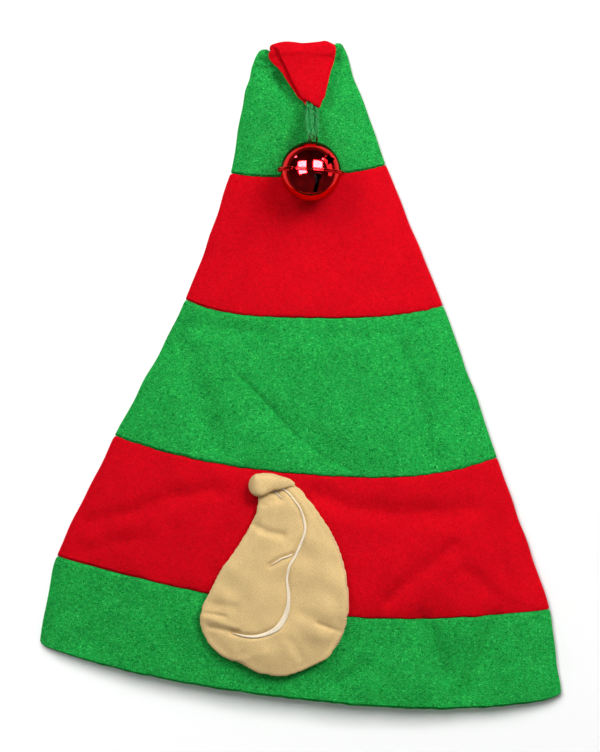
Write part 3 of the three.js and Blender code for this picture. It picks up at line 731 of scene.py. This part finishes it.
def meshed(name, points, faces):
    """A smooth piece made of points and faces, with its normals turned out."""
    mesh = bpy.data.meshes.new(name)
    mesh.from_pydata(points, [], faces)
    piece = bpy.data.objects.new(name, mesh)
    bpy.context.scene.collection.objects.link(piece)
    alone(piece)
    bpy.ops.object.mode_set(mode="EDIT")
    bpy.ops.mesh.select_all(action="SELECT")
    bpy.ops.mesh.normals_make_consistent(inside=False)
    bpy.ops.object.mode_set(mode="OBJECT")
    bpy.ops.object.shade_smooth()
    return piece


def tubes(name, lines, radii, columns):
    """Closed round tubes along lines of points, all in one mesh."""
    points, faces = [], []
    for line, radius in zip(lines, radii):
        _, side, up = carried(line)
        first = len(points)
        last = len(line) - 1
        for k in range(last + 1):
            reach = radius * (0.35 if k in (0, last) else 1)
            for j in range(columns):
                turn = math.tau * j / columns
                way = side[k] * math.cos(turn) + up[k] * math.sin(turn)
                points.append(tuple((line[k] + way * reach) * MM))
        for k in range(last):
            for j in range(columns):
                a, b = first + columns * k + j, first + columns * k + (j + 1) % columns
                faces.append((a, b, b + columns, a + columns))
        faces.append(tuple(first + j for j in reversed(range(columns))))
        faces.append(tuple(first + columns * last + j for j in range(columns)))
    return meshed(name, points, faces)


def yarn_satin(name, dark, light, metal):
    """Satin yarn: fine filaments along it, which catch the light unevenly."""
    material, tree, shader = new_material(name)
    place = node(tree, "TexCoord").outputs["Object"]
    yarn = node(tree, "TexNoise", {"Vector": place, "Scale": 2200, "Detail": 3})
    shade = node(tree, "MapRange", {"Value": yarn.outputs["Fac"], "From Min": 0.35, "From Max": 0.65})
    satin = node(tree, "Mix", {0: shade.outputs[0], 6: dark, 7: light}, data_type="RGBA")
    tree.links.new(satin.outputs[2], shader.inputs["Base Color"])
    rough = node(tree, "MapRange", {
        "Value": shade.outputs[0], "To Min": 0.6 - 0.3 * metal, "To Max": 0.42 - 0.25 * metal,
    })
    tree.links.new(rough.outputs[0], shader.inputs["Roughness"])
    bump = node(tree, "Bump", {"Height": yarn.outputs["Fac"], "Strength": 0.5, "Distance": 0.0003})
    tree.links.new(bump.outputs["Normal"], shader.inputs["Normal"])
    shader.inputs["Metallic"].default_value = metal
    shader.inputs["Specular IOR Level"].default_value = 0.06
    return material


green_cord = yarn_satin("green_cord", (0.003, 0.08, 0.018, 1), (0.012, 0.3, 0.06, 1), 0)
metal_thread = yarn_satin("metal_thread", (0.004, 0.1, 0.024, 1), (0.05, 0.42, 0.12, 1), 0.15)
cord_line, cord_run = along_route(CORD_ROUTE + np.array(EYE_MIDDLE), 200)
_, cord_side, cord_up = carried(cord_line)


def laid(line, side, up, run, turn):
    """One strand of the plait: it swings across the line while it rises and falls."""
    phase = run * math.tau / PLAIT_LENGTH + turn
    across, above = SWING * np.sin(phase), LIFT * np.sin(2 * phase)
    return line + side * across[:, None] + up * above[:, None]


THIRDS = [math.tau * k / 3 for k in range(3)]
cord = tubes(
    "bell_cord_plait", [laid(cord_line, cord_side, cord_up, cord_run, turn) for turn in THIRDS],
    3 * [STRAND], 12,
)
finished(cord, green_cord, "bell_cord")
roots = []
for end, inward in ((0, 1), (-1, -1)):
    away = cord_line[end] - cord_line[end + inward]
    steps = np.linspace(0, ROOT, 24)
    line = cord_line[end] + steps[:, None] * away / np.linalg.norm(away)
    line[:, 2] -= 0.35 * steps
    side = np.tile(cord_side[end], (24, 1))
    up = np.tile(cord_up[end], (24, 1))
    run = cord_run[end] - inward * steps
    roots += [laid(line, side, up, run, turn) for turn in THIRDS]
root = finished(tubes("bell_cord_root", roots, 6 * [STRAND], 12), green_cord, None)
edge_turns = cord_run * math.tau / LOOP_PITCH
wander = 0.25 * np.sin(cord_run * 2.1) + 0.2 * np.sin(cord_run * 5.3 + 1)
edges = [
    cord_line + cord_side * (reach + wander * turn + LOOP_RADIUS * np.sin(edge_turns))[:, None]
    + cord_up * (0.3 + LOOP_RADIUS * np.cos(edge_turns))[:, None]
    for reach, turn in ((-LOOPS_AT, 1), (LOOPS_AT, -1))
]
loops = tubes("bell_cord_thread", edges, 2 * [LOOP_THREAD], 5)
finished(loops, metal_thread, None)

# Ears
# Each ear is two layers of beige cotton twill, turned and topstitched, with a thin wadding
# between them. Its tip is rolled over to the front. One ear lies on each side of the hat.
EAR_OUTLINE = [
    (-23.8, -63.5), (-21.8, -60.5), (-18.5, -58.3), (-11.5, -57.5), (-3.4, -60.6), (5.2, -68.7),
    (13.8, -80.8), (20.4, -91.8), (24.7, -102.6), (28, -115.9), (29.1, -131.4), (28.4, -138.5),
    (26.2, -147.5), (20.4, -158.2), (16, -163.4), (7.4, -167.7), (-1.4, -171.6), (-9.6, -173.5),
    (-18.4, -172.8), (-25.3, -171.3), (-34.8, -166.6), (-43.7, -163), (-51.8, -156.5),
    (-55.6, -150.1), (-58.2, -143.5), (-57.5, -133.1), (-52.9, -123.9), (-47.1, -111.8),
    (-38.6, -99.2), (-31.6, -87.8), (-27, -79.2), (-25.5, -73.9), (-25.1, -70), (-24.7, -66.6),
]
EAR_THICK = 7
EAR_VOXEL = 1.4
EAR_CREASES = [
    ([(-30, -84), (-25, -86.5), (-19, -89.5), (-10, -91.5)], 1.5, 2.4),
    ([(-24, -72.5), (-20, -74.5)], 0.9, 1.8),
    ([(2, -83), (6, -86), (9, -90.5)], 0.6, 4),
    ([(-50, -130.5), (-44, -131.5), (-38, -133)], 0.9, 3),
    ([(-55, -136), (-49, -136.8), (-43, -138)], 0.7, 1.1),
    ([(-54, -139), (-47, -140.8), (-38, -144)], -0.6, 1.6),
    ([(-52, -144), (-44, -145.6), (-36, -147)], 1.1, 1.7),
    ([(1, -136.5), (8, -140), (15, -143)], 0.8, 3.6),
    ([(10, -142), (17.6, -145), (23.5, -146.9)], 1.0, 1.3),
    ([(12, -149.5), (20, -151.5)], -0.5, 3.4),
    ([(-6, -151.5), (-3, -155.5), (0, -161)], 0.8, 2.8),
    ([(-8, -68), (-13, -71), (-19, -71.5)], 0.7, 2.6),
]
STITCH_LINES = [
    ([(-16.1, -66.4), (-13.6, -65.9), (-11.6, -65.1), (-10.1, -65), (-8.1, -66.1), (-5.4, -68.7),
      (-2.8, -72), (-0.7, -74.9), (0.7, -77.8), (1.9, -81.4), (2.65, -84.9), (2.9, -88.4),
      (2.2, -91.6), (1, -94.9), (-1.3, -100.7), (-4.5, -106.3), (-6, -109.2), (-7, -112.7),
      (-7.5, -116.2), (-7.2, -119.8), (-6.7, -123.3), (-6.5, -126.8), (-6.7, -130.5),
      (-7.3, -134.1), (-8.4, -137.7), (-9.8, -140.3), (-11.4, -142.9), (-13.6, -145.2),
      (-18.1, -147.6), (-24, -149.3), (-28.4, -149.5), (-32.8, -149), (-38.6, -147.6)],
     [(0, 0.8), (0.05, 1), (0.17, 1.2), (0.25, 1.7), (0.39, 1.9), (0.5, 1.6), (0.62, 2.2),
      (0.68, 2.8), (0.73, 3.3), (0.78, 3.3), (0.83, 2.6), (0.88, 2.1), (0.95, 1.4), (1, 0.3)]),
    ([(-4.5, -102.6), (-6.6, -103.6), (-10.1, -104.6), (-13, -106.4), (-16.9, -108.6)],
     [(0, 1.3), (0.5, 1.2), (1, 0.3)]),
    ([(-14.5, -66.5), (-12.2, -68.7), (-10.4, -70.5)], [(0, 0.8), (0.6, 1), (1, 0.4)]),
]
SEAM_LINE = [
    (18.2, -92.2), (22.8, -103.2), (26, -116), (27.3, -129), (26.4, -139.9), (25, -146),
    (22.9, -151.6), (20.6, -156),
]


def smooth_ring(points, count):
    """A closed smooth curve through points, as that many evenly spaced points."""
    looped = np.array(points[-3:] + points + points[:3], float)
    keys = np.arange(len(looped), dtype=float)
    table = np.column_stack([keys, looped])
    fine = np.linspace(3, len(points) + 3, 20 * len(points))
    dense = np.stack([smooth(table, 1, fine), smooth(table, 2, fine)], axis=-1)
    run = np.concatenate([[0], np.cumsum(np.linalg.norm(np.diff(dense, axis=0), axis=1))])
    even = np.linspace(0, run[-1], count, endpoint=False)
    return np.stack([np.interp(even, run, dense[:, k]) for k in range(2)], axis=-1)


def apply_modifier(piece, name, kind, **settings):
    modifier = piece.modifiers.new(name, kind)
    for key, value in settings.items():
        setattr(modifier, key, value)
    alone(piece)
    bpy.ops.object.modifier_apply(modifier=name)


def points_of(piece):
    at = np.empty(3 * len(piece.data.vertices), np.float32)
    piece.data.vertices.foreach_get("co", at)
    return at.reshape(-1, 3).astype(float)


def put_points(piece, at):
    piece.data.vertices.foreach_set("co", at.astype(np.float32).ravel())
    piece.data.update()


def inflate(pad, most):
    """Blows a remeshed pad up as cloth, no point further than most, and applies the result."""
    before = points_of(pad)
    modifier = pad.modifiers.new("wadding", "CLOTH")
    cloth = modifier.settings
    cloth.quality = 6
    cloth.mass = 0.15
    cloth.tension_stiffness = cloth.compression_stiffness = 25
    cloth.shear_stiffness = 15
    cloth.bending_stiffness = 0.4
    cloth.use_pressure = True
    cloth.uniform_pressure_force = 4
    cloth.effector_weights.gravity = 0
    modifier.point_cache.frame_start, modifier.point_cache.frame_end = 1, 20
    for number in range(1, 21):
        bpy.context.scene.frame_set(number)
    alone(pad)
    bpy.ops.object.modifier_apply(modifier="wadding")
    bpy.context.scene.frame_set(1)
    moved = points_of(pad) - before
    far = np.linalg.norm(moved, axis=1, keepdims=True)
    put_points(pad, before + moved * np.minimum(1, most / np.maximum(far, 1e-9)))


def ear_pad(name):
    """The padded cloth of an ear, flat side down on the floor, in metres."""
    ring = smooth_ring(EAR_OUTLINE, 240)
    centre = ring.mean(axis=0)
    pad = prism(centre + (ring - centre) * 0.985, 2.4)
    pad.name = pad.data.name = name
    in_metres(pad)
    apply_modifier(pad, "even", "REMESH", mode="VOXEL", voxel_size=EAR_VOXEL * MM)
    inflate(pad, 2.2 * MM)
    return pad


ROLL_LINE = [
    (-29.5, -62.2), (-26, -62.5), (-23, -62.6), (-20, -61.8), (-16.3, -61.1), (-13, -61.3),
    (-10, -61.4), (-6.5, -61.6), (-3, -62.8),
]
ROLL_HALF = [6.3, 6.6, 6.6, 6, 5.1, 4.2, 3.4, 2.4, 0.9]
ROLL_HIGH = 4.1

ear = ear_pad("ear_front_cloth")
apply_modifier(ear, "finer", "SUBSURF", levels=1, render_levels=1)
at = points_of(ear) / MM
x, y = at[:, 0], at[:, 1]
low, high = at[:, 2].min(), at[:, 2].max()
lift = (at[:, 2] - low) / (high - low)
local = np.where(lift < 0.5, lift * 0.9, 0.45 + (lift - 0.5) * 1.1) * (EAR_THICK - 1)
for line, depth, width in EAR_CREASES:
    local = local - depth * nearness(x, y, line, width) * np.clip(lift * 2 - 0.8, 0, 1)
local = local + 0.35 * ripples(x, y, 19, 51) * np.clip(lift * 2 - 0.8, 0, 1)
local = local * (1 - 0.6 * nearness(x, y, ROLL_LINE, 6.5))
for line, _ in STITCH_LINES:
    local = local - 1.5 * nearness(x, y, line, 1.7) * np.clip(lift * 2 - 0.8, 0, 1)
local = local - 0.9 * nearness(x, y, SEAM_LINE, 0.9) * np.clip(lift * 2 - 0.8, 0, 1)
at[:, 2] = on_front(x, y) + 0.5 + np.maximum(local, 0)
put_points(ear, at * MM)
bpy.ops.object.shade_smooth()


def rolled_tip():
    """The ear's point, rolled over to the front into a soft bud that tapers along the edge."""
    line, run = along_line(ROLL_LINE, 81)
    ahead, _, _ = carried(line, (0, 1, 0))
    keys = np.linspace(0, 1, len(ROLL_HALF))

    def place(u, v):
        k = np.rint(v * 80).astype(int)
        start = np.sqrt(1 - (1 - np.clip(run[k] / 6, 0, 1)) ** 2)
        half = np.interp(run[k] / run[-1], keys, ROLL_HALF) * start
        half = half * np.where(k == 80, 0, 1)
        high = half * ROLL_HIGH / ROLL_HALF[1]
        turn = math.tau * u
        x = line[k, 0] - ahead[k, 1] * half * np.cos(turn)
        y = line[k, 1] + ahead[k, 0] * half * np.cos(turn)
        fold = 0.5 * nearness(x, y, [(-26, -57.7), (-18, -57.4), (-8, -59.2)], 0.8)
        rise = high * np.sign(np.sin(turn)) * np.abs(np.sin(turn)) ** 0.75
        rise = rise + np.where(rise > 0, 0.25 * ripples(x, y, 7, 52) - fold, 0) * start
        return x, y, on_front(x, y) + 1.7 + high + rise

    return grid_piece("ear_rolled_tip", 64, 80, place)


def twill(name):
    """Beige cotton twill: fine slanted ribs, slubs in the yarn and soft unevenness."""
    material, tree, shader = new_material(name)
    place = node(tree, "TexCoord").outputs["Object"]
    turned = node(tree, "Mapping", {"Vector": place, "Rotation": (0, 0, math.radians(28))})
    ribs = node(tree, "TexWave", {
        "Vector": turned.outputs["Vector"], "Scale": 245, "Distortion": 1.4, "Detail": 2,
        "Detail Scale": 3,
    }, bands_direction="Y")
    yarn = node(tree, "TexNoise", {"Vector": place, "Scale": 1300, "Detail": 3})
    clouds = node(tree, "TexNoise", {"Vector": place, "Scale": 70, "Detail": 3})
    fine = node(tree, "Math", {0: ribs.outputs["Fac"], 1: 0.22, 2: yarn.outputs["Fac"]},
                operation="MULTIPLY_ADD")
    shade = node(tree, "MapRange", {"Value": fine.outputs[0], "From Min": 0.25, "From Max": 0.95})
    cloth = node(tree, "Mix", {
        0: shade.outputs[0], 6: (0.475, 0.325, 0.136, 1), 7: (0.635, 0.457, 0.213, 1),
    }, data_type="RGBA")
    soft = node(tree, "MapRange", {
        "Value": clouds.outputs["Fac"], "From Min": 0.3, "From Max": 0.7,
        "To Min": 0.92, "To Max": 1.07,
    })
    shaded = node(tree, "VectorMath", {
        0: cloth.outputs[2], "Scale": soft.outputs[0],
    }, operation="SCALE")
    tree.links.new(shaded.outputs["Vector"], shader.inputs["Base Color"])
    bump = node(tree, "Bump", {"Height": fine.outputs[0], "Strength": 0.3, "Distance": 0.0003})
    tree.links.new(bump.outputs["Normal"], shader.inputs["Normal"])
    shader.inputs["Roughness"].default_value = 0.9
    shader.inputs["Specular IOR Level"].default_value = 0.05
    shader.inputs["Sheen Weight"].default_value = 0.1
    return material


ear_cloth = twill("ear_cloth")
finished(ear, ear_cloth, "ear_front")
roll = finished(rolled_tip(), ear_cloth, None)

back = ear_pad("ear_back_cloth")
apply_modifier(back, "finer", "SUBSURF", levels=1, render_levels=1)
at = points_of(back)
low, high = at[:, 2].min(), at[:, 2].max()
at[:, 2] = (at[:, 2] - low) / (high - low) * (EAR_BACK_THICK - 0.6) * MM
put_points(back, at)
bpy.ops.object.shade_smooth()
finished(back, ear_cloth, "ear_back")

# Embroidery
# The inner fold of the ear is drawn in raised satin stitch of ivory thread, which is widest
# at its lower bend and runs to a point at both ends. It is sewn through the front layer only.
ear_surface = BVHTree.FromObject(ear, bpy.context.evaluated_depsgraph_get())


def ear_height(x, y):
    hit = ear_surface.ray_cast(Vector((x * MM, y * MM, 0.1)), Vector((0, 0, -1)))[0]
    return hit.z / MM if hit else float(on_front(x, y))


def stitch_rows(line, widths, pitch=0.42):
    """The place, direction and width of each stitch that crosses a line."""
    length = along_line(line, 50)[1][-1]
    count = int(length / pitch)
    centre, run = along_line(line, count)
    ahead = np.gradient(centre, axis=0)
    share = run / run[-1]
    wide = np.interp(share, *zip(*widths))
    return [(p[0], p[1], math.atan2(a[1], a[0]), w) for p, a, w in zip(centre, ahead, wide)]


def embroidery(name, lines):
    """Every stitch is a short thread that arches over the padding from edge to edge."""
    points, faces = [], []
    for line, widths in lines:
        for x, y, way, wide in stitch_rows(line, widths):
            across = Vector((-math.sin(way + 0.3), math.cos(way + 0.3), 0))
            ahead = Vector((math.cos(way), math.sin(way), 0))
            first = len(points)
            for k in range(7):
                angle = math.pi * k / 6
                reach = -math.cos(angle) * wide / 2
                px, py = x + across.x * reach, y + across.y * reach
                rise = ear_height(px, py) + 1.15 * math.sin(angle) - 0.12
                for side in range(6):
                    turn = math.tau * side / 6
                    p = Vector((px, py, rise)) + ahead * (0.26 * math.cos(turn))
                    p.z += 0.24 * math.sin(turn)
                    points.append(p * MM)
            for k in range(6):
                for side in range(6):
                    a, b = first + 6 * k + side, first + 6 * k + (side + 1) % 6
                    faces.append((a, b, b + 6, a + 6))
            faces.append(tuple(first + side for side in reversed(range(6))))
            faces.append(tuple(first + 36 + side for side in range(6)))
    return meshed(name, points, faces)


def thread(name, colour):
    """Lustrous rayon thread."""
    material, tree, shader = new_material(name)
    place = node(tree, "TexCoord").outputs["Object"]
    yarn = node(tree, "TexNoise", {"Vector": place, "Scale": 1800, "Detail": 2})
    tone = node(tree, "Mix", {
        0: yarn.outputs["Fac"], 6: tuple(0.7 * c for c in colour) + (1,), 7: colour + (1,),
    }, data_type="RGBA")
    tree.links.new(tone.outputs[2], shader.inputs["Base Color"])
    shader.inputs["Roughness"].default_value = 0.45
    shader.inputs["Sheen Weight"].default_value = 0.3
    return material


ear_thread = thread("ear_thread", (0.67, 0.57, 0.4))
finished(embroidery("ear_embroidery", STITCH_LINES), ear_thread, None)

SEAM_STITCH = 1.7


def topstitching():
    """Short slanted stitches of pink thread, which close the ear's edge after it is filled."""
    line, run = along_line(SEAM_LINE, 400)
    ahead = np.gradient(line, axis=0)
    stitches = []
    for start in np.arange(0.5, run[-1] - 2, SEAM_STITCH):
        k = int(np.searchsorted(run, start))
        way = ahead[k] / np.linalg.norm(ahead[k])
        beside = np.array([-way[1], way[0], 0])
        points = []
        for share in np.linspace(0, 1, 5):
            p = line[k] + way * 1.25 * share + beside * 0.7 * (0.5 - share)
            arch = 0.35 * math.sin(math.pi * share)
            points.append((p[0], p[1], ear_height(p[0], p[1]) + arch - 0.1))
        stitches.append(np.array(points))
    return tubes("ear_topstitching", stitches, [0.22] * len(stitches), 6)


seam_thread = thread("seam_thread", (0.66, 0.24, 0.18))
finished(topstitching(), seam_thread, None)

# Ground and light
# A white studio floor and two large soft boxes beyond the top of the hat, the right one
# brighter, in a dim room. The bell mirrors their bright faces and two small lamps.
bpy.ops.object.select_all(action="DESELECT")
bpy.ops.mesh.primitive_plane_add(size=24)
floor = bpy.context.object
floor.name = "floor"
white, tree, shader = new_material("white_floor_painted_reflection")
# Painted reflection: to glossy rays the floor's colour falls from 0.8 to 0.1 between 0.1 m and 0.17 m
# from the bell, so the bell mirrors a darker floor beyond the hat. To all other rays the floor stays
# an even white.
away = node(tree, "VectorMath", {
    0: node(tree, "TexCoord").outputs["Object"], 1: BELL_AT * MM,
}, operation="DISTANCE")
far = node(tree, "MapRange", {
    "Value": away.outputs["Value"], "From Min": 0.1, "From Max": 0.17, "To Min": 0.8, "To Max": 0.1,
})
floor_tone_painted_reflection = node(tree, "Mix", {
    0: node(tree, "LightPath").outputs["Is Glossy Ray"], 2: 0.95, 3: far.outputs[0],
})
tree.links.new(floor_tone_painted_reflection.outputs[0], shader.inputs["Base Color"])
shader.inputs["Roughness"].default_value = 1
shader.inputs["Specular IOR Level"].default_value = 0
floor.data.materials.append(white)

LIGHT_AWAY = 1.6
LIGHTS = [
    ("left_box", (-0.476, 0.567, 0.72), 0.75, 0.75, 12.5, "hat", (1, 1, 1)),
    ("right_box", (0.47, 0.54, 0.7), 0.75, 0.75, 28, "hat", (1, 1, 1)),
    ("floor_box", (-0.13, 0.3, 0.95), 0.9, 0.9, 26, "floor", (1, 1, 1)),
    ("left_face", (-0.52, 0.3, 0.8), 0.85, 1.3, 180, "gloss", (1, 0.95, 0.86)),
    ("right_face", (0.424, 0.46, 0.78), 0.9, 0.8, 124, "gloss", (1, 0.95, 0.86)),
    ("left_lamp", (-0.675, 0.738, 0.09), 0.13, 0.17, 2.2, "gloss", (1, 1, 1)),
    ("right_lamp", (0.625, 0.696, 0.354), 0.13, 0.13, 1.6, "gloss", (1, 1, 1)),
    ("right_card", (0.92, 0.34, 0.03), 1.8, 1.25, 9.7, "gloss", (1, 1, 1)),
]  # direction, width, height, power, what it is for, and colour

lit = {"hat": "EXCLUDE", "floor": "INCLUDE"}
for way, state in lit.items():
    group = bpy.data.collections.new("lit_for_" + way)
    group.objects.link(floor)
    group.collection_objects[0].light_linking.link_state = state
    lit[way] = group
for name, way, width, height, power, purpose, colour in LIGHTS:
    out = Vector(way).normalized()
    aside = (Vector((1, 0, 0)) - out * out.x).normalized()
    bpy.ops.object.light_add(type="AREA", location=out * LIGHT_AWAY)
    box = bpy.context.object
    box.name = name
    box.rotation_euler = Matrix((aside, out.cross(aside), out)).transposed().to_euler()
    box.data.shape = "RECTANGLE"
    box.data.size, box.data.size_y = width, height
    box.data.energy = power
    box.data.color = colour
    box.visible_camera = False
    box.visible_glossy = purpose == "gloss"
    box.visible_diffuse = box.visible_transmission = purpose != "gloss"
    if purpose in lit:
        box.light_linking.receiver_collection = lit[purpose]

world = bpy.context.scene.world or bpy.data.worlds.new("studio")
bpy.context.scene.world = world
world.use_nodes = True
sky = world.node_tree
path = node(sky, "LightPath")
way = node(sky, "TexCoord").outputs["Generated"]
behind = node(sky, "MapRange", {
    "Value": node(sky, "SeparateXYZ", {"Vector": way}).outputs["Y"],
    "From Min": 0.05, "From Max": -0.6, "To Min": 0.05, "To Max": 0.2,
})
patches = node(sky, "TexNoise", {"Vector": way, "Scale": 2.6, "Detail": 4})
room = node(sky, "Math", {0: behind.outputs[0], 1: patches.outputs["Fac"]}, operation="MULTIPLY")
fill = node(sky, "MapRange", {"Value": path.outputs["Is Glossy Ray"], "To Min": 0.28})
sky.links.new(room.outputs[0], fill.inputs["To Max"])
seen = node(sky, "MapRange", {"Value": path.outputs["Is Camera Ray"], "To Max": 1})
sky.links.new(fill.outputs[0], seen.inputs["To Min"])
sky.links.new(seen.outputs[0], sky.nodes["Background"].inputs["Strength"])
sky.nodes["Background"].inputs["Color"].default_value = (1, 1, 1, 1)
